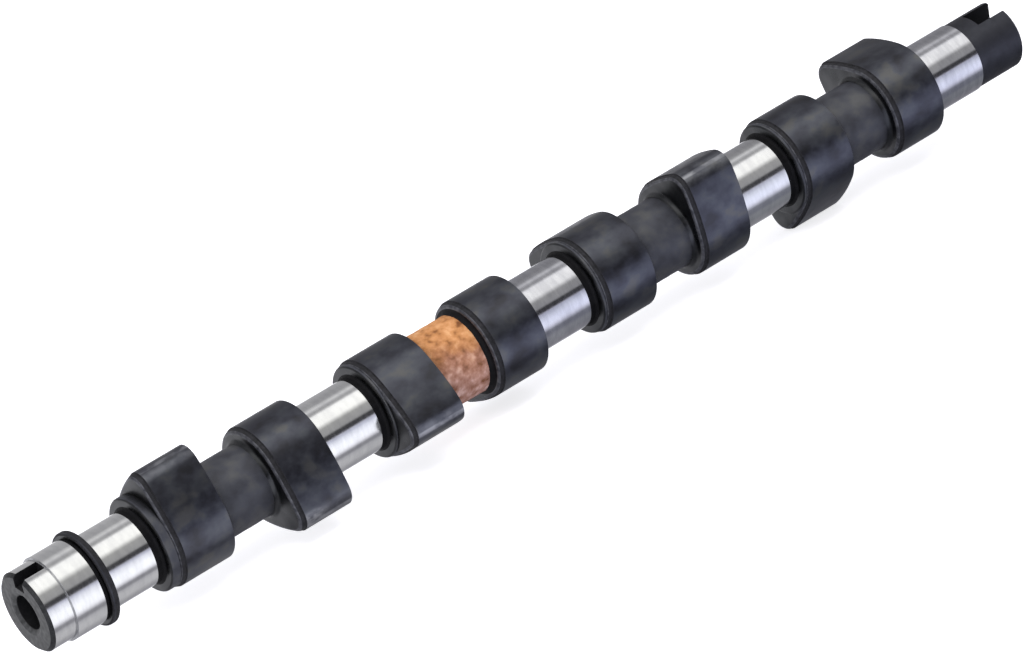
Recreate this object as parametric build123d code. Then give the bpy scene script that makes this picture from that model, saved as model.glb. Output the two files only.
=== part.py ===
from build123d import *
import math
import os

# Overhead camshaft of a four-cylinder engine, one chilled iron casting.
# All sizes in millimetres. The shaft lies along X, its nose end face at X = 0,
# and Z is up. Angles round the shaft run from +Z towards +Y.

# --- along the shaft -------------------------------------------------------
CYLINDER_PITCH = 88.0          # from one cylinder to the next
CYLINDERS = 4
FIRST_LOBE_END = 68.9          # right face of the first lobe
LOBE_SPACING = 41.25           # from a first lobe to the second of its cylinder
FIRST_LOBE_WIDTH = 19.0        # ground width of the first lobe of a cylinder
SECOND_LOBE_WIDTH = 18.4       # ground width of the second
CHEEK_WIDTH = 2.0              # unground cast strip on the left of every lobe
JOURNAL_WIDTH = 22.0           # ground part between two cylinders
SHANK_WIDTH = 2.8              # unground neck between a journal and a collar
REAR_JOURNAL_WIDTH = 22.9
REAR_END_WIDTH = 19.7
SPROCKET_SEAT_LENGTH = 9.2
SEAL_SEAT_LENGTH = 11.3
RELIEF_WIDTH = 1.4             # unground neck in front of the flange
FLANGE_WIDTH = 2.7
FRONT_JOURNAL_WIDTH = 17.2

# --- across the shaft ------------------------------------------------------
JOURNAL_DIAMETER = 26.0
REAR_JOURNAL_DIAMETER = 25.2
CORE_DIAMETER = 25.8           # cast web between the lobes of a cylinder
ROUGH_CORE_DIAMETER = 28.0     # the same web, left rough on one cylinder
ROUGH_CYLINDER = 1             # which one, counted from nought
SHANK_DIAMETER = 25.7
COLLAR_DIAMETER = 33.4
REAR_END_DIAMETER = 24.4
FLANGE_DIAMETER = 33.0
SPROCKET_SEAT_DIAMETER = 28.0
SEAL_SEAT_DIAMETER = 29.6
RELIEF_DIAMETER = 29.0

# --- the lobes -------------------------------------------------------------
BASE_RADIUS = 17.5
NOSE_REACH = 25.0              # from the shaft's axis to the tip of the nose
NOSE_RADIUS = 6.4
FLANK_RADIUS = 70.0
CHEEK_INSET = 0.4              # how far the cast strip lies below the ground surface
FIRST_LOBE_ANGLE = -19.25      # nose of the very first lobe
LOBE_SEPARATION = -111.25      # from a first lobe to the second of its cylinder
CYLINDER_PHASES = (0.0, -90.0, 90.0, 180.0)

# --- edges -----------------------------------------------------------------
NOSE_CHAMFER = 1.2
REAR_CHAMFER = 0.8
FLANGE_ROUNDING = 0.8
COLLAR_ROUNDING = 0.9
CHEEK_ROUNDING = 1.4
SHANK_ROOT = 1.0               # concave root at the foot of a collar
WEB_ROOT = 1.6                 # concave root at the foot of a second lobe

# --- sprocket fixing and drives --------------------------------------------
KEYWAY_WIDTH = 5.0
KEYWAY_DEPTH = 4.8
KEYWAY_LENGTH = 9.0
BOLT_HOLE_DIAMETER = 12.1
BOLT_HOLE_DEPTH = 34.0
DRILL_TIP_HALF_ANGLE = 59.0
MOUTH_DIAMETER = 15.4
MOUTH_DEPTH = 0.95
SLOT_WIDTH = 8.2
SLOT_DEPTH = 12.3
SLOT_ANGLE = FIRST_LOBE_ANGLE
KEYWAY_ANGLE = FIRST_LOBE_ANGLE

# --- worked-out sizes ------------------------------------------------------
RELIEF_START = SPROCKET_SEAT_LENGTH + SEAL_SEAT_LENGTH
FLANGE_START = RELIEF_START + RELIEF_WIDTH
FLANGE_END = FLANGE_START + FLANGE_WIDTH
FRONT_JOURNAL_END = FLANGE_END + FRONT_JOURNAL_WIDTH
LAST_LOBE_END = FIRST_LOBE_END + (CYLINDERS - 1) * CYLINDER_PITCH + LOBE_SPACING
REAR_JOURNAL_END = LAST_LOBE_END + REAR_JOURNAL_WIDTH
OVERALL_LENGTH = REAR_JOURNAL_END + REAR_END_WIDTH
CUT_MARGIN = 1.0               # how far a cutting tool runs past the metal


def heading(angle):
    """Direction across the shaft at an angle from +Z towards +Y."""
    turn = math.radians(angle)
    return Vector(0, math.sin(turn), math.cos(turn))


def across(x, angle=0.0):
    """Plane square to the shaft at x, its own x axis along the heading."""
    return Plane(origin=(x, 0, 0), x_dir=heading(angle), z_dir=(1, 0, 0))


def disc(start, end, diameter):
    """Plain cylinder on the shaft's axis."""
    return extrude(across(start) * Circle(diameter / 2), end - start)


def web(start, end, diameter, root):
    """Round cast neck that flares through a concave root into the face at end."""
    foot = diameter / 2
    sag = root * (1 - math.sqrt(0.5))
    flare = ThreePointArc((end - root, foot), (end - sag, foot + sag), (end, foot + root))
    rest = Polyline((end, foot + root), (end, 0), (start, 0), (start, foot), (end - root, foot))
    return revolve(make_face([flare, *rest.edges()]), Axis.X)


def cam_outline(inset):
    """Cam profile: base circle, nose arc and two wide tangent flanks."""
    base = BASE_RADIUS - inset
    nose = NOSE_RADIUS - inset
    flank_radius = FLANK_RADIUS - inset
    offset = NOSE_REACH - NOSE_RADIUS
    from_base = flank_radius - base
    from_nose = flank_radius - nose
    centre_x = (from_base ** 2 - from_nose ** 2 + offset ** 2) / (2 * offset)
    centre = Vector(centre_x, -math.sqrt(from_base ** 2 - centre_x ** 2))
    tip = Vector(offset, 0)
    heel_join = centre * (-base / from_base)
    nose_join = tip + (tip - centre) * (nose / from_nose)
    middle = ((heel_join + nose_join) * 0.5 - centre).normalized()
    flank_middle = centre + middle * flank_radius
    far_heel = Vector(heel_join.X, -heel_join.Y)
    far_nose = Vector(nose_join.X, -nose_join.Y)
    far_middle = Vector(flank_middle.X, -flank_middle.Y)
    flank = ThreePointArc(heel_join, flank_middle, nose_join)
    nose_arc = ThreePointArc(nose_join, (offset + nose, 0), far_nose)
    far_flank = ThreePointArc(far_nose, far_middle, far_heel)
    heel_arc = ThreePointArc(far_heel, (-base, 0), heel_join)
    return make_face([flank, nose_arc, far_flank, heel_arc])


def cam_disc(start, width, angle, inset):
    """Cam-shaped disc with its left face at start."""
    return extrude(across(start, angle) * cam_outline(inset), width)


def lobe(ground_start, end, angle):
    """One lobe: its ground running surface and the cast strip on its left."""
    strip = cam_disc(ground_start - CHEEK_WIDTH, CHEEK_WIDTH, angle, CHEEK_INSET)
    strip = fillet(strip.faces().sort_by(Axis.X)[0].edges(), CHEEK_ROUNDING)
    return strip + cam_disc(ground_start, end - ground_start, angle, 0)


def collar(start, end):
    """Round cast collar against the left side of a first lobe."""
    body = disc(start, end, COLLAR_DIAMETER)
    return fillet(body.faces().sort_by(Axis.X)[0].edges(), COLLAR_ROUNDING)


def lobe_pair(number):
    """The two lobes of one cylinder with the castings that join them."""
    first_end = FIRST_LOBE_END + number * CYLINDER_PITCH
    second_end = first_end + LOBE_SPACING
    first_angle = FIRST_LOBE_ANGLE + CYLINDER_PHASES[number]
    second_angle = first_angle + LOBE_SEPARATION
    first_start = first_end - FIRST_LOBE_WIDTH
    second_start = second_end - SECOND_LOBE_WIDTH
    core_diameter = ROUGH_CORE_DIAMETER if number == ROUGH_CYLINDER else CORE_DIAMETER
    shank_start = FRONT_JOURNAL_END
    if number > 0:
        shank_start = second_end - CYLINDER_PITCH + JOURNAL_WIDTH
    collar_start = shank_start + SHANK_WIDTH
    pair = web(shank_start, collar_start, SHANK_DIAMETER, SHANK_ROOT)
    pair += collar(collar_start, first_start - CHEEK_WIDTH)
    pair += lobe(first_start, first_end, first_angle)
    pair += web(first_end, second_start - CHEEK_WIDTH, core_diameter, WEB_ROOT)
    pair += lobe(second_start, second_end, second_angle)
    return pair


def nose_end():
    """Sprocket seat, oil-seal seat and thrust flange."""
    seat = disc(0, SPROCKET_SEAT_LENGTH, SPROCKET_SEAT_DIAMETER)
    seat = chamfer(seat.faces().sort_by(Axis.X)[0].edges(), NOSE_CHAMFER)
    seat += disc(SPROCKET_SEAT_LENGTH, RELIEF_START, SEAL_SEAT_DIAMETER)
    relief = disc(RELIEF_START, FLANGE_START, RELIEF_DIAMETER)
    flange = disc(FLANGE_START, FLANGE_END, FLANGE_DIAMETER)
    flange = fillet(flange.edges().filter_by(GeomType.CIRCLE), FLANGE_ROUNDING)
    return seat + relief + flange


def rear_end():
    """Rear journal and the stub that carries the drive slot."""
    journal = disc(LAST_LOBE_END, REAR_JOURNAL_END, REAR_JOURNAL_DIAMETER)
    stub = disc(REAR_JOURNAL_END, OVERALL_LENGTH, REAR_END_DIAMETER)
    stub = chamfer(stub.faces().sort_by(Axis.X)[-1].edges(), REAR_CHAMFER)
    return journal + stub


def keyway():
    """Straight keyway, open at the nose end."""
    length = KEYWAY_LENGTH + CUT_MARGIN
    height = KEYWAY_DEPTH + CUT_MARGIN
    centre = SPROCKET_SEAT_DIAMETER / 2 - KEYWAY_DEPTH + height / 2
    key = Pos(centre, 0, 0) * Rectangle(height, KEYWAY_WIDTH)
    return extrude(across(-CUT_MARGIN, KEYWAY_ANGLE) * key, length)


def bolt_hole():
    """Blind hole for the sprocket bolt, with a wide mouth and a drill tip."""
    radius = BOLT_HOLE_DIAMETER / 2
    tip = BOLT_HOLE_DEPTH + radius / math.tan(math.radians(DRILL_TIP_HALF_ANGLE))
    mouth = MOUTH_DIAMETER / 2
    outline = Polyline(
        (-CUT_MARGIN, 0),
        (-CUT_MARGIN, mouth),
        (0, mouth),
        (MOUTH_DEPTH, radius),
        (BOLT_HOLE_DEPTH, radius),
        (tip, 0),
        close=True,
    )
    return revolve(make_face(outline), Axis.X)


def drive_slot():
    """Slot right across the rear end, open at the end face."""
    tool = Rectangle(REAR_END_DIAMETER + 2 * CUT_MARGIN, SLOT_WIDTH)
    start = OVERALL_LENGTH - SLOT_DEPTH
    return extrude(across(start, SLOT_ANGLE) * tool, SLOT_DEPTH + CUT_MARGIN)


def camshaft():
    """The whole casting, machined."""
    shaft = nose_end()
    shaft += disc(FLANGE_END, FRONT_JOURNAL_END, JOURNAL_DIAMETER)
    for number in range(CYLINDERS):
        shaft += lobe_pair(number)
        pair_end = FIRST_LOBE_END + LOBE_SPACING + number * CYLINDER_PITCH
        if number < CYLINDERS - 1:
            shaft += disc(pair_end, pair_end + JOURNAL_WIDTH, JOURNAL_DIAMETER)
    shaft += rear_end()
    return shaft - keyway() - bolt_hole() - drive_slot()


os.makedirs("parts", exist_ok=True)
export_step(camshaft(), "parts/camshaft.step")
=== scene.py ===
import math

import bmesh
import bpy
from mathutils import Matrix, Vector, noise


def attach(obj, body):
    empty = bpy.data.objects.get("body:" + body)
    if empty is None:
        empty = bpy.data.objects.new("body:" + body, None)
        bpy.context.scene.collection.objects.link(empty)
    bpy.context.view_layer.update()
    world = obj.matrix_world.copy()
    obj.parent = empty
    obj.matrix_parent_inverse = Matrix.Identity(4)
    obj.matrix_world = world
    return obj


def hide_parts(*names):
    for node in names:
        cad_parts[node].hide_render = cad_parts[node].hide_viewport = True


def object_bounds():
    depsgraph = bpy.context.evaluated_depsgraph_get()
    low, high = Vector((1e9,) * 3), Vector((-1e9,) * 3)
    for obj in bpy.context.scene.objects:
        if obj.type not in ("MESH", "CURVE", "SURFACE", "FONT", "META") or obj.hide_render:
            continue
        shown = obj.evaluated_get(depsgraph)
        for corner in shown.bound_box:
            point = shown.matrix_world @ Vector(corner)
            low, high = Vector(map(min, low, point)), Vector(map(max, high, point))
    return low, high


# Overhead camshaft, dressed. Metres, in the CAD's frame: the shaft lies along X
# with its nose end face at X = 0, Z is up, and angles round the shaft run from
# +Z towards +Y, as they do in the CAD source.

MM = 0.001

# --- along the shaft, in millimetres ---------------------------------------
CYLINDER_PITCH = 88.0
CYLINDERS = 4
ROUGH_CYLINDER = 1
FIRST_LOBE_END = 68.9
LOBE_SPACING = 41.25
FIRST_LOBE_WIDTH = 19.0
SECOND_LOBE_WIDTH = 18.4
CHEEK_WIDTH = 2.0
JOURNAL_WIDTH = 22.0
SHANK_WIDTH = 2.8
SEAT_LENGTH = 9.2
RELIEF_START = 20.5
FLANGE_START = 21.9
FLANGE_END = 24.6
FRONT_JOURNAL_END = 41.8
LAST_LOBE_END = FIRST_LOBE_END + (CYLINDERS - 1) * CYLINDER_PITCH + LOBE_SPACING
REAR_JOURNAL_END = LAST_LOBE_END + 22.9
OVERALL_LENGTH = REAR_JOURNAL_END + 19.7

# --- radii, in millimetres -------------------------------------------------
JOURNAL = 13.0
REAR_JOURNAL = 12.6
CORE = 12.9
ROUGH_CORE = 14.0
SHANK = 12.85
COLLAR = 16.7
REAR_END = 12.2
RELIEF = 14.5
FLANGE = 16.5
SPROCKET_SEAT = 14.0
SEAL_SEAT = 14.8
HOLE = 6.05
MOUTH = 7.7

# --- the lobes, in millimetres and degrees ---------------------------------
BASE = 17.5
REACH = 25.0
NOSE = 6.4
FLANK = 70.0
CHEEK_INSET = 0.4
FIRST_ANGLE = -19.25
SEPARATION = -111.25
PHASES = (0.0, -90.0, 90.0, 180.0)

# --- small shapes, in millimetres and degrees ------------------------------
NOSE_CHAMFER = 1.2
REAR_CHAMFER = 0.8
FLANGE_ROUNDING = 0.8
COLLAR_ROUNDING = 0.9
CHEEK_ROUNDING = 1.4
SHANK_ROOT = 1.0
WEB_ROOT = 1.6
SHOULDER_RUN = 0.2       # length of the slope at a small step down
SEAT_STEP = 0.25         # length of the whole step up to the seal seat
SEAT_STEP_RUN = 0.1      # length of its steep part
SEAT_STEP_RIM = 0.1      # height of the chamfer on top of it
STRIP_RUN = 0.1          # length of the slope from the cast strip to the ground part
GROUND_CHAMFER = 0.12    # at the left end of a lobe's ground part
GROUND_EDGE = 0.25       # rounding at its right end
KEYWAY_WIDTH = 5.0
KEYWAY_DEPTH = 4.8
KEYWAY_LENGTH = 9.0
HOLE_DEPTH = 34.0
DRILL_HALF_ANGLE = 59.0
MOUTH_DEPTH = 0.95
MOUTH_RIM = 0.01         # thin ring that keeps the mouth's edge crisp
SLOT_WIDTH = 8.2
SLOT_DEPTH = 12.3

# Unevenness of the castings: height of the lumps and distance between rings.
CAST_LUMPS = (0.05, 1.0)
ROUGH_LUMPS = (0.16, 0.55)
LUMP_SIZE = 2.4
FINE_LUMPS = 2.7         # how many times finer the second lumps are, at half the height
FIRST_STEP = 0.15        # from the start of a web to its first ring

# --- the mesh --------------------------------------------------------------
AROUND = 240             # points in each ring
ARC_STEPS = 5            # steps in a quarter of a circle
AXIS_DOT = 0.05          # radius of the small ring at each end, in millimetres
MERGE_DISTANCE = 2e-6    # metres
THIN_EDGE = 1e-6         # metres
SHARP_ANGLE = 32.0       # degrees between faces at a hard edge
CUT_REACH = 20.0         # how far the cutting blocks reach from the axis, in millimetres
CUT_OVERSHOOT = 1.0      # how far they start beyond an end, in millimetres

# Zones of the surface, one material to each.
BORE, END_FACE, CHAMFER, GROUND, CAST, LOBE, EDGE, STRIP, NECK, RUST, REAR, FACE, STEP = range(13)

# --- marks in the finish, in millimetres -----------------------------------
# Wide pale band on the lobes' tips, partly rubbed by the followers and partly painted
# highlight, and a thin painted highlight line: the radius where each starts, the
# radius where it is full, and the greatest share of the paler colour.
TIP_RUB_AND_HIGHLIGHT = (23.4, 24.8, 0.35)
TIP_HIGHLIGHT_LINE = (24.93, 24.99, 0.75)

# Painted highlight spot on the second lobe's tip: an oval drawn out along the shaft.
HIGHLIGHT_SPOT = (94.0, -20.1, -14.9)
SPOT_EDGE = 3.4
SPOT_CORE = 0.7
SPOT_SHARE = 0.9                  # greatest share of the paler colour
SPOT_SQUASH = (0.42, 1.0, 1.0)    # distances along each axis count for so much

# Heights between which the rust turns from pink to brown and on to ochre.
PINK_TO_BROWN = (-4.0, 6.0)
BROWN_TO_OCHRE = (4.0, 11.0)
RUST_WAVE = 3.0

# How grey the ground surfaces are, by share of the shaft's length.
TARNISH = (
    (0.00, "000000"),
    (0.42, "000000"),
    (0.46, "ffffff"),
    (0.56, "ffffff"),
    (0.62, "808080"),
    (0.80, "808080"),
    (0.86, "ffffff"),
    (1.00, "ffffff"),
)

# Parts of the noise's and the corners' range, from 0 to 1, that carry a change; the corners' range sets the
# painted shade in inner corners.
NOISE_LOW, NOISE_HIGH = 0.3, 0.7
SPECK_LOW, SPECK_HIGH = 0.22, 0.36
CORNER_DARK, CORNER_OPEN = 0.5, 0.95

# Sockets of a mix node for colours.
SHARE, UNDER, OVER, MIXED = 0, 6, 7, 2

# --- stage and lights ------------------------------------------------------
# Brightness round the shaft in reflections, from the front (0) over the top
# (0.5) to the back (1): a dark gap, a grey wall, the soft light, a gap, a wall.
SKY_STRENGTH = 1.32
SKY_FRONT = (
    (0.000, "b8b8c4"),
    (0.018, "3c3c40"),
    (0.080, "3a3a3d"),
    (0.104, "949496"),
    (0.222, "989898"),
    (0.292, "fafaf8"),
    (0.400, "fefefc"),
    (0.468, "fafafa"),
    (0.498, "b4b4b6"),
    (0.515, "9a9a9c"),
    (0.545, "9a9a9c"),
    (0.575, "b2b2b5"),
    (0.600, "cacacc"),
)
# The back wall is darker towards the rear end.
SKY_NEAR = SKY_FRONT + (
    (0.640, "b8b8ba"),
    (0.675, "98989b"),
    (0.750, "98989b"),
    (0.850, "a0a0a3"),
    (1.000, "a8a8aa"),
)
SKY_FAR = SKY_FRONT + (
    (0.630, "b4b4b6"),
    (0.665, "8e8e91"),
    (0.750, "808083"),
    (0.850, "828286"),
    (1.000, "88888c"),
)
SKY_CHANGE = (0.41, 0.45)      # part of a direction along X where near turns to far

# The same for the floor, from the front (0) to straight below (0.5) to the back.
# It is paler below the nose, where the light stands, than below the rear end, and darker below the shaft,
# where its shadow is painted.
FLOOR_STRENGTH = 1.42
FLOOR_NEAR = (
    (0.000, "bcbed0"),
    (0.028, "cccedc"),
    (0.055, "dfe1ec"),
    (0.085, "ebedf6"),
    (0.115, "f6f8ff"),
    (0.170, "f6f8ff"),
    (0.194, "ecedf4"),
    (0.218, "cacad2"),
    (0.240, "86868c"),
    (0.266, "7c7c82"),
    (0.298, "a4a4a9"),
    (0.340, "acacb0"),
    (0.400, "a8a8ac"),
    (0.450, "96969a"),
    (0.550, "808086"),
    (0.700, "c4c4c8"),
    (1.000, "e4e4e8"),
)
FLOOR_FAR = (
    (0.000, "aeb0c2"),
    (0.028, "b8bbcc"),
    (0.055, "ccd0e0"),
    (0.085, "d8dcee"),
    (0.115, "e2e6fa"),
    (0.160, "e2e6fa"),
    (0.190, "d0d2e4"),
    (0.215, "a6a8b6"),
    (0.240, "70727c"),
    (0.290, "6a6c76"),
    (0.330, "76787e"),
    (0.400, "707278"),
    (0.450, "76767c"),
    (0.550, "78787e"),
    (0.700, "c4c4c8"),
    (1.000, "e4e4e8"),
)
FLOOR_CHANGE = (0.12, 0.24)    # place along X where near turns to far, in metres
FLOOR_SIZE = 12.0              # metres
FLOOR_MIDDLE = 0.2             # metres along the shaft
FLOOR_GLOW = 0.72              # white that the floor adds for the camera alone
ROOM_LIGHT = 0.68              # light from the room on dull surfaces

# --- camera ----------------------------------------------------------------
CAMERA_PLACE = (-0.62378, -1.51876, 0.53275)    # metres
CAMERA_TARGET = (0.19683, 0.0, -0.00079)        # metres
CAMERA_ROLL = -21.726                           # degrees
CAMERA_LENS = 194.48                            # millimetres
SENSOR_WIDTH = 36.0                             # millimetres


def linear(hex_colour):
    """sRGB hex to the linear colour that Blender's sockets take."""
    channels = []
    for start in (0, 2, 4):
        value = int(hex_colour[start:start + 2], 16) / 255
        if value <= 0.04045:
            channels.append(value / 12.92)
        else:
            channels.append(((value + 0.055) / 1.055) ** 2.4)
    return (*channels, 1.0)


# --- profile of a cam ------------------------------------------------------
def cam_radii(inset, angle):
    """Radius of a cam profile at each step round the shaft."""
    base = BASE - inset
    nose = NOSE - inset
    flank = FLANK - inset
    offset = REACH - NOSE
    from_base = flank - base
    from_nose = flank - nose
    centre_x = (from_base ** 2 - from_nose ** 2 + offset ** 2) / (2 * offset)
    centre_y = -math.sqrt(from_base ** 2 - centre_x ** 2)
    heel_turn = math.atan2(-centre_y, -centre_x)
    join_x = offset + (offset - centre_x) * nose / from_nose
    join_y = -centre_y * nose / from_nose
    nose_turn = math.atan2(join_y, join_x)
    radii = []
    for step in range(AROUND):
        turn = abs((step * 360 / AROUND - angle + 180) % 360 - 180)
        turn = math.radians(turn)
        if turn >= heel_turn:
            radii.append(base)
        elif turn > nose_turn:
            radii.append(ray_to_arc(turn, centre_x, centre_y, flank))
        else:
            radii.append(ray_to_arc(turn, offset, 0.0, nose))
    return radii


def ray_to_arc(turn, centre_x, centre_y, radius):
    """Distance from the axis to the far side of an arc's circle."""
    along = centre_x * math.cos(turn) + centre_y * math.sin(turn)
    aside = centre_x ** 2 + centre_y ** 2 - along ** 2
    return along + math.sqrt(radius ** 2 - aside)


# --- rings -----------------------------------------------------------------
def all_round(radii):
    """Radii of a ring, from one radius or from a list of them."""
    if isinstance(radii, list):
        return radii
    return [radii] * AROUND


def grown(radii, amount):
    """Ring radii with the same amount added all round."""
    return [radius + amount for radius in all_round(radii)]


def lumpy(x, radii, height):
    """Ring radii with the unevenness of sand-cast iron."""
    uneven_radii = []
    for step, radius in enumerate(all_round(radii)):
        turn = math.radians(step * 360 / AROUND)
        place = Vector((x, radius * math.sin(turn), radius * math.cos(turn)))
        lump = noise.noise(place / LUMP_SIZE) + 0.5 * noise.noise(place * FINE_LUMPS / LUMP_SIZE)
        uneven_radii.append(radius + height * lump)
    return uneven_radii


class Skin:
    """The shaft's surface as rings from the nose's hole to the rear face."""

    def __init__(self):
        self.rings = []
        self.zones = []

    def ring(self, x, radii, zone):
        """Add a ring; zone is the material of the band that leads to it."""
        self.rings.append((x, all_round(radii)))
        self.zones.append(zone)

    def band(self, end, radii, zone, steps=1):
        """Straight band from the last ring's place to end."""
        start = self.rings[-1][0]
        for step in range(1, steps + 1):
            self.ring(start + (end - start) * step / steps, radii, zone)

    def rise(self, x, radii, size, face, rim, top):
        """Left face of a disc at x, then its rounded edge in two zones."""
        for step, zone in enumerate((face, rim, rim, rim, top, top)):
            turn = math.radians(90 * step / ARC_STEPS)
            inset = size * (1 - math.sin(turn))
            self.ring(x + size * (1 - math.cos(turn)), grown(radii, -inset), zone)

    def fall(self, x, radii, size, zone):
        """Rounded right edge of a disc that ends at x."""
        for step in range(ARC_STEPS + 1):
            turn = math.radians(90 * step / ARC_STEPS)
            inset = size * (1 - math.cos(turn))
            self.ring(x - size * (1 - math.sin(turn)), grown(radii, -inset), zone)


# --- parts of the shaft ----------------------------------------------------
def add_nose(skin):
    """Bolt hole, end face, both seats, thrust flange and front journal."""
    tip = HOLE_DEPTH + HOLE / math.tan(math.radians(DRILL_HALF_ANGLE))
    skin.ring(tip, AXIS_DOT, BORE)
    skin.ring(HOLE_DEPTH, HOLE, BORE)
    skin.band(MOUTH_DEPTH, HOLE, BORE, steps=4)
    skin.ring(0.0, MOUTH, END_FACE)
    skin.ring(0.0, MOUTH + MOUTH_RIM, END_FACE)
    skin.ring(0.0, SPROCKET_SEAT - NOSE_CHAMFER, END_FACE)
    skin.ring(NOSE_CHAMFER, SPROCKET_SEAT, CHAMFER)
    skin.band(SEAT_LENGTH, SPROCKET_SEAT, GROUND, steps=6)
    skin.ring(SEAT_LENGTH + SEAT_STEP_RUN, SEAL_SEAT - SEAT_STEP_RIM, STEP)
    skin.ring(SEAT_LENGTH + SEAT_STEP, SEAL_SEAT, STEP)
    skin.band(RELIEF_START, SEAL_SEAT, GROUND, steps=6)
    skin.ring(RELIEF_START + SHOULDER_RUN, RELIEF, NECK)
    skin.band(FLANGE_START, RELIEF, NECK, steps=2)
    skin.rise(FLANGE_START, FLANGE, FLANGE_ROUNDING, FACE, STRIP, REAR)
    skin.fall(FLANGE_END, FLANGE, FLANGE_ROUNDING, STRIP)
    skin.ring(FLANGE_END, JOURNAL, CAST)
    skin.band(FRONT_JOURNAL_END, JOURNAL, GROUND, steps=3)


def add_web(skin, end, radius, root, zone, root_zone):
    """Cast neck from the last ring that flares through a root at end."""
    height, spacing = ROUGH_LUMPS if zone == RUST else CAST_LUMPS
    start = skin.rings[-1][0]
    skin.ring(start, lumpy(start, radius, height), FACE)
    steps = round((end - root - start) / spacing)
    for step in range(steps + 1):
        x = start + FIRST_STEP + (end - root - start - FIRST_STEP) * step / steps
        skin.ring(x, lumpy(x, radius, height), zone)
    for step in range(1, ARC_STEPS + 1):
        turn = math.radians(90 * step / ARC_STEPS)
        x = end - root * (1 - math.sin(turn))
        flare = radius + root * (1 - math.cos(turn))
        skin.ring(x, lumpy(x, flare, height * (ARC_STEPS - step) / ARC_STEPS), root_zone)


def add_lobe(skin, start, end, angle):
    """Cast strip with its rubbed rim, then the ground surface of a lobe."""
    strip = cam_radii(CHEEK_INSET, angle)
    ground = cam_radii(0.0, angle)
    skin.rise(start - CHEEK_WIDTH, strip, CHEEK_ROUNDING, FACE, EDGE, STRIP)
    skin.band(start - STRIP_RUN, strip, STRIP)
    skin.ring(start, grown(ground, -GROUND_CHAMFER), STRIP)
    skin.ring(start + GROUND_CHAMFER, ground, STRIP)
    skin.band(end - GROUND_EDGE, ground, LOBE, steps=3)
    skin.fall(end, ground, GROUND_EDGE, LOBE)


def add_cylinder(skin, number):
    """Both lobes of a cylinder, its castings and the journal that follows."""
    first_end = FIRST_LOBE_END + number * CYLINDER_PITCH
    second_end = first_end + LOBE_SPACING
    first_angle = FIRST_ANGLE + PHASES[number]
    first_start = first_end - FIRST_LOBE_WIDTH
    second_start = second_end - SECOND_LOBE_WIDTH
    collar_start = skin.rings[-1][0] + SHANK_WIDTH
    web, zone, root_zone = (CORE, CAST, FACE)
    if number == ROUGH_CYLINDER:
        # The rusty web's root takes the necks' black: painted shade in the corner beside the next lobe.
        web, zone, root_zone = (ROUGH_CORE, RUST, NECK)
    add_web(skin, collar_start, SHANK, SHANK_ROOT, NECK, NECK)
    skin.rise(collar_start, COLLAR, COLLAR_ROUNDING, FACE, FACE, CAST)
    skin.band(first_start - CHEEK_WIDTH, COLLAR, CAST)
    add_lobe(skin, first_start, first_end, first_angle)
    add_web(skin, second_start - CHEEK_WIDTH, web, WEB_ROOT, zone, root_zone)
    add_lobe(skin, second_start, second_end, first_angle + SEPARATION)
    if number < CYLINDERS - 1:
        skin.ring(second_end, JOURNAL, CAST)
        skin.band(second_end + JOURNAL_WIDTH, JOURNAL, GROUND, steps=3)


def add_rear(skin):
    """Rear journal and the blackened stub that carries the drive slot."""
    skin.ring(LAST_LOBE_END, REAR_JOURNAL, CAST)
    skin.band(REAR_JOURNAL_END, REAR_JOURNAL, GROUND, steps=3)
    skin.ring(REAR_JOURNAL_END + SHOULDER_RUN, REAR_END, REAR)
    skin.band(OVERALL_LENGTH - REAR_CHAMFER, REAR_END, REAR, steps=8)
    skin.ring(OVERALL_LENGTH, REAR_END - REAR_CHAMFER, EDGE)
    skin.ring(OVERALL_LENGTH, AXIS_DOT, REAR)


# --- mesh ------------------------------------------------------------------
def piece_from(name, shape, materials):
    """Object from a mesh in the making, with the zones' materials."""
    mesh = bpy.data.meshes.new(name)
    shape.to_mesh(mesh)
    shape.free()
    for material in materials:
        mesh.materials.append(material)
    piece = bpy.data.objects.new(name, mesh)
    bpy.context.collection.objects.link(piece)
    return piece


def shaft_from(skin, name, materials):
    """Closed surface from the rings, one material to each zone."""
    shape = bmesh.new()
    loops = []
    for x, radii in skin.rings:
        loop = []
        for step, radius in enumerate(radii):
            turn = math.radians(step * 360 / AROUND)
            place = (x * MM, radius * math.sin(turn) * MM, radius * math.cos(turn) * MM)
            loop.append(shape.verts.new(place))
        loops.append(loop)
    for number in range(1, len(loops)):
        before, after = loops[number - 1], loops[number]
        for step in range(AROUND):
            following = (step + 1) % AROUND
            points = (before[step], before[following], after[following], after[step])
            face = shape.faces.new(points)
            face.material_index = skin.zones[number]
    shape.faces.new(loops[0]).material_index = BORE
    shape.faces.new(list(reversed(loops[-1]))).material_index = REAR
    bmesh.ops.remove_doubles(shape, verts=shape.verts[:], dist=MERGE_DISTANCE)
    bmesh.ops.dissolve_degenerate(shape, edges=shape.edges[:], dist=THIN_EDGE)
    bmesh.ops.recalc_face_normals(shape, faces=shape.faces[:])
    return piece_from(name, shape, materials)


def cutter(name, low, high, zone, materials):
    """Block that cuts the shaft, set at the first lobe's angle."""
    shape = bmesh.new()
    bmesh.ops.create_cube(shape, size=1.0)
    middle = (Vector(low) + Vector(high)) / 2 * MM
    size = (Vector(high) - Vector(low)) * MM
    turn = Matrix.Rotation(math.radians(-FIRST_ANGLE), 4, "X")
    place = turn @ Matrix.Translation(middle) @ Matrix.Diagonal((*size, 1.0))
    bmesh.ops.transform(shape, matrix=place, verts=shape.verts[:])
    for face in shape.faces:
        face.material_index = zone
    return piece_from(name, shape, materials)


def keyway_cutter(materials):
    """Block for the keyway, which is open at the end face."""
    half = KEYWAY_WIDTH / 2
    low = (-CUT_OVERSHOOT, -half, SPROCKET_SEAT - KEYWAY_DEPTH)
    return cutter("keyway", low, (KEYWAY_LENGTH, half, CUT_REACH), BORE, materials)


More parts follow.
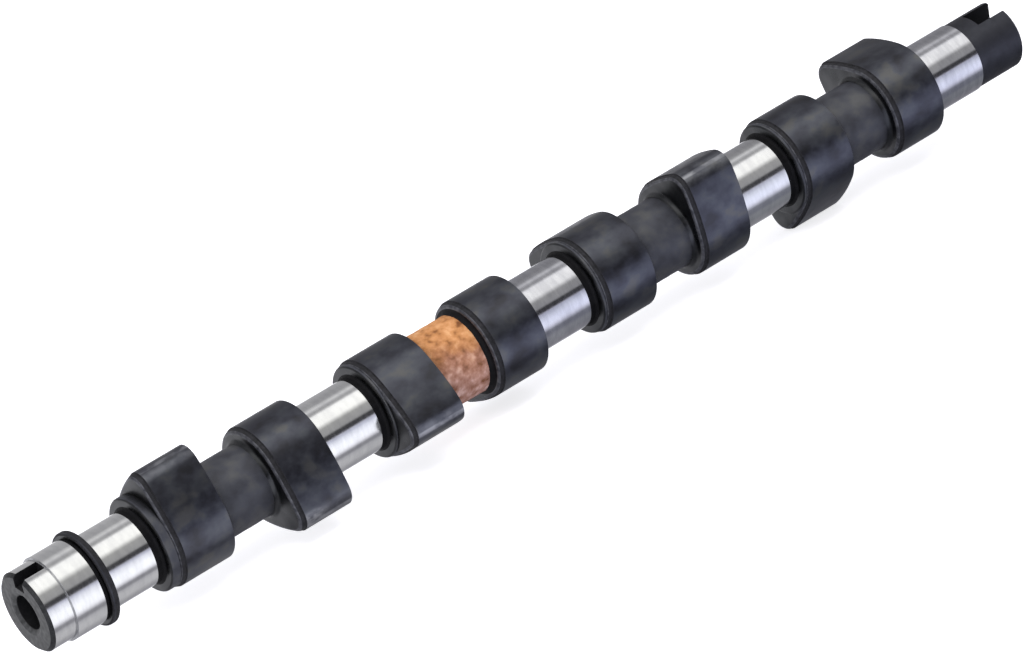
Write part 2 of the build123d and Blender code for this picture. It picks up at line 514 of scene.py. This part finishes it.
def slot_cutter(materials):
    """Block for the drive slot, which runs right across the rear end."""
    half = SLOT_WIDTH / 2
    low = (OVERALL_LENGTH - SLOT_DEPTH, -half, -CUT_REACH)
    # The slot's walls take the necks' black: painted shade inside the slot.
    return cutter("slot", low, (OVERALL_LENGTH + CUT_OVERSHOOT, half, CUT_REACH), NECK, materials)


def cut(piece, blocks):
    """Cut the blocks out of the piece and drop them."""
    for block in blocks:
        modifier = piece.modifiers.new(block.name, "BOOLEAN")
        modifier.operation = "DIFFERENCE"
        modifier.solver = "EXACT"
        modifier.material_mode = "TRANSFER"
        modifier.object = block
    bpy.context.view_layer.update()
    depsgraph = bpy.context.evaluated_depsgraph_get()
    mesh = bpy.data.meshes.new_from_object(piece.evaluated_get(depsgraph))
    piece.modifiers.clear()
    piece.data = mesh
    for block in blocks:
        bpy.data.objects.remove(block)


def make_camshaft(materials):
    """The whole shaft as one skin, with its keyway and drive slot cut."""
    skin = Skin()
    add_nose(skin)
    for number in range(CYLINDERS):
        add_cylinder(skin, number)
    add_rear(skin)
    piece = shaft_from(skin, "camshaft_skin", materials)
    cut(piece, (keyway_cutter(materials), slot_cutter(materials)))
    piece.data.shade_smooth()
    piece.data.set_sharp_from_angle(angle=math.radians(SHARP_ANGLE))
    return piece


# --- nodes and patterns ----------------------------------------------------
def add_node(tree, kind, settings=None, inputs=None, stops=()):
    """Add a node with its settings, its inputs and a colour ramp's stops.

    An input is a number, a colour or the output of another node.
    """
    node = tree.nodes.new(kind)
    for name, value in (settings or {}).items():
        setattr(node, name, value)
    for name, value in (inputs or {}).items():
        if isinstance(value, bpy.types.NodeSocket):
            tree.links.new(value, node.inputs[name])
        else:
            node.inputs[name].default_value = value
    if stops:
        elements = node.color_ramp.elements
        while len(elements) < len(stops):
            elements.new(0.5)
        for element, (place, colour) in zip(elements, stops):
            element.position = place
            element.color = linear(colour)
    return node


def grain(tree, across, along, detail=3.0):
    """Noise whose spots are so many millimetres across and along the shaft."""
    where = add_node(tree, "ShaderNodeTexCoord")
    scale = (1 / (along * MM), 1 / (across * MM), 1 / (across * MM))
    inputs = {"Vector": where.outputs["Object"], "Scale": scale}
    mapped = add_node(tree, "ShaderNodeMapping", None, inputs)
    inputs = {"Vector": mapped.outputs["Vector"], "Scale": 1.0, "Detail": detail}
    return add_node(tree, "ShaderNodeTexNoise", None, inputs).outputs["Fac"]


def clouds(tree, across, along, stops):
    """Colour that clouds over the stops, in spots of so many millimetres."""
    inputs = {"Fac": grain(tree, across, along)}
    return add_node(tree, "ShaderNodeValToRGB", None, inputs, stops).outputs["Color"]


def uneven(tree, across, along, low, high, detail=3.0):
    """Number that wanders between low and high in spots of so many millimetres."""
    inputs = {
        "Value": grain(tree, across, along, detail),
        "From Min": NOISE_LOW,
        "From Max": NOISE_HIGH,
        "To Min": low,
        "To Max": high,
    }
    return add_node(tree, "ShaderNodeMapRange", None, inputs).outputs["Result"]


def relief(tree, across, along, depth, strength, detail=3.0):
    """Low relief in spots of so many millimetres, depth millimetres high in all."""
    height = grain(tree, across, along, detail)
    inputs = {"Height": height, "Distance": depth * MM, "Strength": strength}
    return add_node(tree, "ShaderNodeBump", None, inputs).outputs["Normal"]


def corners(tree, reach, dark, open_colour):
    """Painted shade: colour that darkens towards inner corners within reach millimetres."""
    settings = {"only_local": True, "samples": 8}
    near = add_node(tree, "ShaderNodeAmbientOcclusion", settings, {"Distance": reach * MM})
    inputs = {"Value": near.outputs["AO"], "From Min": CORNER_DARK, "From Max": CORNER_OPEN}
    share = add_node(tree, "ShaderNodeMapRange", {"interpolation_type": "SMOOTHSTEP"}, inputs)
    inputs = {SHARE: share.outputs["Result"], UNDER: linear(dark), OVER: open_colour}
    return add_node(tree, "ShaderNodeMix", {"data_type": "RGBA"}, inputs).outputs[MIXED]


# --- colours of more than one layer ----------------------------------------
def ground_colour(tree):
    """Bright iron that is a little greyer from the third journal on."""
    bright = clouds(tree, 7.0, 2.2, ((0.35, "dadada"), (0.65, "e5e5e4")))
    grey = clouds(tree, 7.0, 2.2, ((0.35, "c0c0c5"), (0.65, "d2d2d6")))
    where = add_node(tree, "ShaderNodeTexCoord")
    parts = add_node(tree, "ShaderNodeSeparateXYZ", None, {"Vector": where.outputs["Object"]})
    inputs = {"Value": parts.outputs["X"], "From Max": OVERALL_LENGTH * MM}
    along = add_node(tree, "ShaderNodeMapRange", None, inputs)
    inputs = {"Fac": along.outputs["Result"]}
    tarnish = add_node(tree, "ShaderNodeValToRGB", None, inputs, TARNISH)
    inputs = {SHARE: tarnish.outputs["Color"], UNDER: bright, OVER: grey}
    return add_node(tree, "ShaderNodeMix", {"data_type": "RGBA"}, inputs).outputs[MIXED]


def tip_rub_and_highlight(tree, colour, pale_band, paler):
    """Paler colour over the part of a lobe that lies farthest from the axis: rubbing and painted highlight
    on the tips.
    """
    low, high, most = pale_band
    where = add_node(tree, "ShaderNodeTexCoord")
    inputs = {0: where.outputs["Object"], 1: (0.0, 1.0, 1.0)}
    section = add_node(tree, "ShaderNodeVectorMath", {"operation": "MULTIPLY"}, inputs)
    inputs = {0: section.outputs["Vector"]}
    radius = add_node(tree, "ShaderNodeVectorMath", {"operation": "LENGTH"}, inputs)
    inputs = {"Value": radius.outputs["Value"], "From Min": low * MM, "From Max": high * MM, "To Max": most}
    share = add_node(tree, "ShaderNodeMapRange", {"interpolation_type": "SMOOTHSTEP"}, inputs)
    inputs = {SHARE: share.outputs["Result"], UNDER: colour, OVER: paler}
    return add_node(tree, "ShaderNodeMix", {"data_type": "RGBA"}, inputs).outputs[MIXED]


def highlight_spot(tree, colour, paler):
    """Paler colour in an oval spot on the second lobe's tip: a painted highlight."""
    where = add_node(tree, "ShaderNodeTexCoord")
    inputs = {0: where.outputs["Object"], 1: [place * MM for place in HIGHLIGHT_SPOT]}
    aside = add_node(tree, "ShaderNodeVectorMath", {"operation": "SUBTRACT"}, inputs)
    inputs = {0: aside.outputs["Vector"], 1: SPOT_SQUASH}
    oval = add_node(tree, "ShaderNodeVectorMath", {"operation": "MULTIPLY"}, inputs)
    inputs = {0: oval.outputs["Vector"]}
    away = add_node(tree, "ShaderNodeVectorMath", {"operation": "LENGTH"}, inputs)
    inputs = {
        "Value": away.outputs["Value"],
        "From Min": SPOT_EDGE * MM,
        "From Max": SPOT_CORE * MM,
        "To Max": SPOT_SHARE,
    }
    share = add_node(tree, "ShaderNodeMapRange", {"interpolation_type": "SMOOTHSTEP"}, inputs)
    inputs = {SHARE: share.outputs["Result"], UNDER: colour, OVER: paler}
    return add_node(tree, "ShaderNodeMix", {"data_type": "RGBA"}, inputs).outputs[MIXED]


def lobe_colour(tree):
    """Cloudy blue-black film; on the tips a wide band, partly rubbed and partly painted highlight, a thin
    painted highlight line and a painted highlight spot on the second lobe.
    """
    film = clouds(tree, 7.0, 9.0, ((0.32, "434348"), (0.44, "4d4e56"), (0.56, "595b62"), (0.66, "656566")))
    rub_and_highlight = clouds(tree, 3.0, 5.0, ((0.36, "56575d"), (0.6, "8e8f94")))
    # Colour of the thin painted highlight line along the tips.
    line = clouds(tree, 3.0, 5.0, ((0.36, "6e6f76"), (0.6, "a2a3a8")))
    spot_highlight = clouds(tree, 2.0, 3.0, ((0.36, "74757b"), (0.6, "b2b3b6")))
    colour = tip_rub_and_highlight(tree, film, TIP_RUB_AND_HIGHLIGHT, rub_and_highlight)
    colour = tip_rub_and_highlight(tree, colour, TIP_HIGHLIGHT_LINE, line)
    return highlight_spot(tree, colour, spot_highlight)


def wavy_height(tree):
    """Height above the axis, with a wave that keeps colour borders uneven."""
    where = add_node(tree, "ShaderNodeTexCoord")
    parts = add_node(tree, "ShaderNodeSeparateXYZ", None, {"Vector": where.outputs["Object"]})
    wave = uneven(tree, 8.0, 8.0, low=-RUST_WAVE * MM, high=RUST_WAVE * MM, detail=2.0)
    inputs = {0: parts.outputs["Z"], 1: wave}
    return add_node(tree, "ShaderNodeMath", {"operation": "ADD"}, inputs).outputs["Value"]


def rust_colour(tree):
    """Ochre above, brown between and dusty pink below, with brown specks."""
    height = wavy_height(tree)
    spots = grain(tree, 3.0, 3.0, 5.0)
    pink = ((0.30, "80543f"), (0.42, "a07260"), (0.55, "b88e80"), (0.70, "dcbab0"))
    brown = ((0.30, "57351e"), (0.42, "7f5235"), (0.55, "9a6746"), (0.70, "b0825f"))
    ochre = ((0.30, "8a5b36"), (0.42, "ae7747"), (0.55, "c08858"), (0.70, "d09e70"))
    layers = []
    for stops in (pink, brown, ochre):
        layer = add_node(tree, "ShaderNodeValToRGB", None, {"Fac": spots}, stops)
        layers.append(layer.outputs["Color"])
    colour = layers[0]
    for (low, high), over in zip((PINK_TO_BROWN, BROWN_TO_OCHRE), layers[1:]):
        inputs = {"Value": height, "From Min": low * MM, "From Max": high * MM}
        share = add_node(tree, "ShaderNodeMapRange", None, inputs)
        inputs = {SHARE: share.outputs["Result"], UNDER: colour, OVER: over}
        colour = add_node(tree, "ShaderNodeMix", {"data_type": "RGBA"}, inputs).outputs[MIXED]
    inputs = {"Value": grain(tree, 3.0, 3.0, 1.0), "From Min": SPECK_LOW, "From Max": SPECK_HIGH}
    clear = add_node(tree, "ShaderNodeMapRange", None, inputs)
    inputs = {SHARE: clear.outputs["Result"], UNDER: linear("7a4a26"), OVER: colour}
    return add_node(tree, "ShaderNodeMix", {"data_type": "RGBA"}, inputs).outputs[MIXED]


# --- materials -------------------------------------------------------------
def new_material(name):
    """Material without nodes, and its node tree."""
    material = bpy.data.materials.new(name)
    material.use_nodes = True
    tree = material.node_tree
    tree.nodes.clear()
    return material, tree


def add_finish(tree, finish):
    """One principled shader; finish gives a value or a pattern to a socket."""
    shader = add_node(tree, "ShaderNodeBsdfPrincipled", None, finish)
    add_node(tree, "ShaderNodeOutputMaterial", None, {"Surface": shader.outputs["BSDF"]})


def dark_bore():
    """Inside of the bolt hole and the keyway: near black, painted shade in these recesses."""
    material, tree = new_material("bore_painted_shade")
    add_finish(tree, {
        "Base Color": clouds(tree, 1.0, 1.0, ((0.3, "0b0b0d"), (0.7, "17171a"))),
        "Metallic": 0.2,
        "Roughness": 0.6,
    })
    return material


def turned_face():
    """Turned end face of cast iron: satin and mid grey, a little mottled."""
    material, tree = new_material("turned_iron_face")
    add_finish(tree, {
        "Base Color": clouds(tree, 1.6, 1.6, ((0.3, "323334"), (0.5, "454647"), (0.7, "5b5c5d"))),
        "Metallic": 0.7,
        "Roughness": uneven(tree, 0.8, 0.8, low=0.34, high=0.5),
        "Normal": relief(tree, 0.5, 0.5, depth=0.02, strength=0.4),
    })
    return material


def dull_edge():
    """Turned chamfer at the nose, darker than the faces beside it."""
    material, tree = new_material("dull_iron_edge")
    add_finish(tree, {
        "Base Color": clouds(tree, 1.2, 1.2, ((0.3, "242527"), (0.7, "38393b"))),
        "Metallic": 0.6,
        "Roughness": uneven(tree, 0.7, 0.7, low=0.38, high=0.52),
    })
    return material


def ground_iron():
    """Ground and polished iron: clear reflections with fine lines round it.

    Real grinding lines are too fine to show, so these are drawn coarser.
    """
    material, tree = new_material("ground_iron")
    add_finish(tree, {
        "Base Color": ground_colour(tree),
        "Metallic": 1.0,
        "Roughness": uneven(tree, 9.0, 1.0, low=0.10, high=0.16),
        "Normal": relief(tree, 20.0, 0.16, depth=0.0018, strength=0.25),
    })
    return material


def black_cast():
    """Phosphated casting: the film is dull and dark over a sandy grain, with painted shade in the inner
    corners.

    The moulding sand is finer, and it is drawn at 0.7 mm so that it shows.
    """
    film = ((0.32, "32333a"), (0.5, "3d3f47"), (0.66, "4a4b4e"))
    material, tree = new_material("phosphated_casting")
    add_finish(tree, {
        "Base Color": corners(tree, 5.0, "08080b", clouds(tree, 6.0, 6.0, film)),
        "Metallic": 0.35,
        "Roughness": uneven(tree, 1.5, 1.5, low=0.44, high=0.58),
        "Normal": relief(tree, 0.7, 0.7, depth=0.06, strength=0.45, detail=5.0),
    })
    return material


def black_lobe():
    """Phosphated lobe: smooth blue-black film with cloudy patches."""
    material, tree = new_material("phosphated_lobe")
    add_finish(tree, {
        "Base Color": lobe_colour(tree),
        "Metallic": 1.0,
        "Roughness": uneven(tree, 3.5, 4.5, low=0.30, high=0.42),
        "Normal": relief(tree, 4.5, 5.5, depth=0.09, strength=0.8, detail=2.0),
    })
    return material


def edge_rub_and_highlight():
    """Proud edges where the black film has rubbed thin: a lighter grey, partly rubbing and partly painted
    highlight.
    """
    material, tree = new_material("rubbed_edge_highlight")
    add_finish(tree, {
        "Base Color": clouds(tree, 2.0, 2.0, ((0.35, "3a3b41"), (0.65, "5c5d63"))),
        "Metallic": 0.6,
        "Roughness": uneven(tree, 1.0, 1.0, low=0.34, high=0.46),
    })
    return material


def dark_strip():
    """Unground strip beside a ground surface: dull and near black, a dark line."""
    material, tree = new_material("unground_strip")
    add_finish(tree, {
        "Base Color": clouds(tree, 1.5, 1.5, ((0.3, "141417"), (0.7, "242429"))),
        "Metallic": 0.3,
        "Roughness": uneven(tree, 1.0, 1.0, low=0.55, high=0.7),
        "Normal": relief(tree, 0.7, 0.7, depth=0.05, strength=0.4, detail=5.0),
    })
    return material


def black_neck():
    """Unground necks, the drive slot and the rusty web's root: black film, drawn blacker than the other
    castings as painted shade in these recesses.
    """
    material, tree = new_material("black_neck_painted_shade")
    add_finish(tree, {
        "Base Color": clouds(tree, 2.0, 2.0, ((0.3, "08080a"), (0.7, "101013"))),
        "Metallic": 0.0,
        "Specular IOR Level": 0.15,
        "Roughness": uneven(tree, 1.0, 1.0, low=0.5, high=0.65),
        "Normal": relief(tree, 0.8, 0.8, depth=0.05, strength=0.4, detail=5.0),
    })
    return material


def rusty_cast():
    """Bare casting gone orange: a dry crust that scatters all its light, with painted shade in the inner
    corners.
    """
    material, tree = new_material("rusty_casting")
    add_finish(tree, {
        "Base Color": corners(tree, 4.5, "2a1a12", rust_colour(tree)),
        "Metallic": 0.0,
        "Roughness": uneven(tree, 1.0, 1.0, low=0.7, high=0.9),
        "Normal": relief(tree, 1.8, 1.8, depth=0.12, strength=0.45, detail=4.0),
    })
    return material


def black_rear():
    """Turned rear end and flange rim under the black film, with turning lines.

    The lines are drawn 0.3 mm wide, coarser than the tool left them.
    """
    material, tree = new_material("phosphated_rear_end")
    add_finish(tree, {
        "Base Color": clouds(tree, 6.0, 6.0, ((0.3, "34353b"), (0.7, "3f4047"))),
        "Metallic": 0.8,
        "Roughness": uneven(tree, 2.0, 2.0, low=0.42, high=0.55),
        "Normal": relief(tree, 6.0, 0.3, depth=0.02, strength=0.4),
    })
    return material


def smooth_face():
    """Phosphated side faces, cast smooth: they mirror the neck beside them."""
    material, tree = new_material("phosphated_side")
    add_finish(tree, {
        "Base Color": clouds(tree, 5.0, 5.0, ((0.32, "38393b"), (0.5, "424345"), (0.66, "4c4c4e"))),
        "Metallic": 1.0,
        "Roughness": uneven(tree, 2.5, 2.5, low=0.26, high=0.38),
        "Normal": relief(tree, 1.6, 1.6, depth=0.02, strength=0.4),
    })
    return material


def turned_step():
    """Step between the two seats: turned and left duller than they are."""
    material, tree = new_material("turned_step")
    add_finish(tree, {
        "Base Color": clouds(tree, 2.0, 2.0, ((0.35, "9c9da0"), (0.65, "b6b7b9"))),
        "Metallic": 0.8,
        "Roughness": uneven(tree, 1.0, 1.0, low=0.30, high=0.42),
    })
    return material


def make_materials():
    """One material to each zone, in the zones' order."""
    makers = (
        dark_bore,
        turned_face,
        dull_edge,
        ground_iron,
        black_cast,
        black_lobe,
        edge_rub_and_highlight,
        dark_strip,
        black_neck,
        rusty_cast,
        black_rear,
        smooth_face,
        turned_step,
    )
    return [make() for make in makers]


# --- stage, lights and camera ----------------------------------------------
def round_shaft(tree, height, front):
    """Share of the half turn round the shaft, from the front to the back."""
    inputs = {0: front, 1: -1.0}
    toward = add_node(tree, "ShaderNodeMath", {"operation": "MULTIPLY"}, inputs)
    inputs = {0: height, 1: toward.outputs["Value"]}
    turn = add_node(tree, "ShaderNodeMath", {"operation": "ARCTAN2"}, inputs)
    inputs = {0: turn.outputs["Value"], 1: math.pi}
    return add_node(tree, "ShaderNodeMath", {"operation": "DIVIDE"}, inputs).outputs["Value"]


def reflected(tree, turn, along, change, near, far):
    """Brightness round the shaft, near at the nose and far at the rear end."""
    low, high = change
    inputs = {"Value": along, "From Min": low, "From Max": high}
    share = add_node(tree, "ShaderNodeMapRange", None, inputs)
    first = add_node(tree, "ShaderNodeValToRGB", None, {"Fac": turn}, near)
    second = add_node(tree, "ShaderNodeValToRGB", None, {"Fac": turn}, far)
    inputs = {SHARE: share.outputs["Result"], UNDER: first.outputs["Color"], OVER: second.outputs["Color"]}
    return add_node(tree, "ShaderNodeMix", {"data_type": "RGBA"}, inputs).outputs[MIXED]


def choose(tree, for_camera, for_gloss, otherwise):
    """One shader for camera rays, one for reflections and one for the rest."""
    path = add_node(tree, "ShaderNodeLightPath")
    inputs = {0: path.outputs["Is Glossy Ray"], 1: otherwise, 2: for_gloss}
    gloss = add_node(tree, "ShaderNodeMixShader", None, inputs)
    inputs = {0: path.outputs["Is Camera Ray"], 1: gloss.outputs["Shader"], 2: for_camera}
    return add_node(tree, "ShaderNodeMixShader", None, inputs).outputs["Shader"]


def pale_floor():
    """White to the camera; in reflections a glowing lilac card with a dark seam and the shaft's painted
    shadow below it.
    """
    material, tree = new_material("pale_floor")
    where = add_node(tree, "ShaderNodeNewGeometry")
    parts = add_node(tree, "ShaderNodeSeparateXYZ", None, {"Vector": where.outputs["Position"]})
    inputs = {0: parts.outputs["Z"], 1: -1.0}
    below = add_node(tree, "ShaderNodeMath", {"operation": "MULTIPLY"}, inputs)
    turn = round_shaft(tree, below.outputs["Value"], parts.outputs["Y"])
    card = reflected(tree, turn, parts.outputs["X"], FLOOR_CHANGE, FLOOR_NEAR, FLOOR_FAR)
    sheen = add_node(tree, "ShaderNodeEmission", None, {"Color": card, "Strength": FLOOR_STRENGTH})
    pale = add_node(tree, "ShaderNodeBsdfDiffuse", None, {"Color": linear("dedee8")})
    inputs = {"Color": linear("ffffff"), "Strength": FLOOR_GLOW}
    glow = add_node(tree, "ShaderNodeEmission", None, inputs)
    inputs = {0: glow.outputs["Emission"], 1: pale.outputs["BSDF"]}
    seen = add_node(tree, "ShaderNodeAddShader", None, inputs)
    chosen = choose(tree, seen.outputs["Shader"], sheen.outputs["Emission"], pale.outputs["BSDF"])
    add_node(tree, "ShaderNodeOutputMaterial", None, {"Surface": chosen})
    return material


def make_floor(height):
    """Floor under the shaft, which takes its shadow."""
    place = (FLOOR_MIDDLE, 0.0, height)
    bpy.ops.mesh.primitive_plane_add(size=FLOOR_SIZE, location=place)
    floor = bpy.context.object
    floor.name = "floor"
    floor.data.materials.append(pale_floor())


def make_room():
    """Studio round the shaft: white to the camera, banded in reflections."""
    world = bpy.data.worlds.new("studio")
    bpy.context.scene.world = world
    world.use_nodes = True
    tree = world.node_tree
    tree.nodes.clear()
    where = add_node(tree, "ShaderNodeTexCoord")
    inputs = {"Vector": where.outputs["Generated"]}
    parts = add_node(tree, "ShaderNodeSeparateXYZ", None, inputs)
    turn = round_shaft(tree, parts.outputs["Z"], parts.outputs["Y"])
    sky = reflected(tree, turn, parts.outputs["X"], SKY_CHANGE, SKY_NEAR, SKY_FAR)
    inputs = {"Color": linear("fdfdfd"), "Strength": 1.0}
    seen = add_node(tree, "ShaderNodeBackground", None, inputs)
    inputs = {"Color": sky, "Strength": SKY_STRENGTH}
    banded = add_node(tree, "ShaderNodeBackground", None, inputs)
    inputs = {"Color": linear("f4f4f8"), "Strength": ROOM_LIGHT}
    soft = add_node(tree, "ShaderNodeBackground", None, inputs)
    shaders = [node.outputs["Background"] for node in (seen, banded, soft)]
    add_node(tree, "ShaderNodeOutputWorld", None, {"Surface": choose(tree, *shaders)})


def add_light(name, place, aim, size, power, colour):
    """Soft rectangular light that faces aim and isn't seen in reflections."""
    data = bpy.data.lights.new(name, "AREA")
    data.shape = "RECTANGLE"
    data.size, data.size_y = size
    data.energy = power
    data.color = linear(colour)[:3]
    lamp = bpy.data.objects.new(name, data)
    lamp.location = place
    lamp.rotation_euler = (Vector(aim) - Vector(place)).to_track_quat("-Z", "Y").to_euler()
    lamp.visible_glossy = False
    bpy.context.collection.objects.link(lamp)


def make_lights():
    """A broad soft light above the shaft and a fill from beyond its nose."""
    add_light(
        "soft_top",
        place=(0.3, -0.5, 1.3),
        aim=(0.2, 0.0, 0.0),
        size=(2.2, 1.0),
        power=19.0,
        colour="fffaf2",
    )
    add_light(
        "left_fill",
        place=(-1.3, -0.8, 0.35),
        aim=(0.1, 0.0, 0.0),
        size=(1.0, 0.8),
        power=16.0,
        colour="fbfbff",
    )


def make_camera():
    """Long lens from the nose end's side, turned about its own axis."""
    data = bpy.data.cameras.new("camera")
    data.sensor_width = SENSOR_WIDTH
    data.lens = CAMERA_LENS
    data.clip_start = 0.05
    data.clip_end = 50.0
    camera = bpy.data.objects.new("camera", data)
    place = Vector(CAMERA_PLACE)
    look = (Vector(CAMERA_TARGET) - place).to_track_quat("-Z", "Y").to_matrix().to_4x4()
    roll = Matrix.Rotation(math.radians(CAMERA_ROLL), 4, "Z")
    camera.matrix_world = Matrix.Translation(place) @ look @ roll
    bpy.context.collection.objects.link(camera)
    bpy.context.scene.camera = camera


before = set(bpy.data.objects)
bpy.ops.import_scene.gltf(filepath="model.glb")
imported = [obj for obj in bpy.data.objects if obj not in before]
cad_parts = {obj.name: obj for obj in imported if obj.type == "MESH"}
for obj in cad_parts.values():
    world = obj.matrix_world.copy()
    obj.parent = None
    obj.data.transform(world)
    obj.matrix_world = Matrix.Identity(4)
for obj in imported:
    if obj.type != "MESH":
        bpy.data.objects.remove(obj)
cad_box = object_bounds()
bpy.context.scene.view_settings.view_transform = "Standard"
camshaft = make_camshaft(make_materials())
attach(camshaft, "root")
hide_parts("camshaft")
make_floor(cad_box[0][2])
make_room()
make_lights()
make_camera()
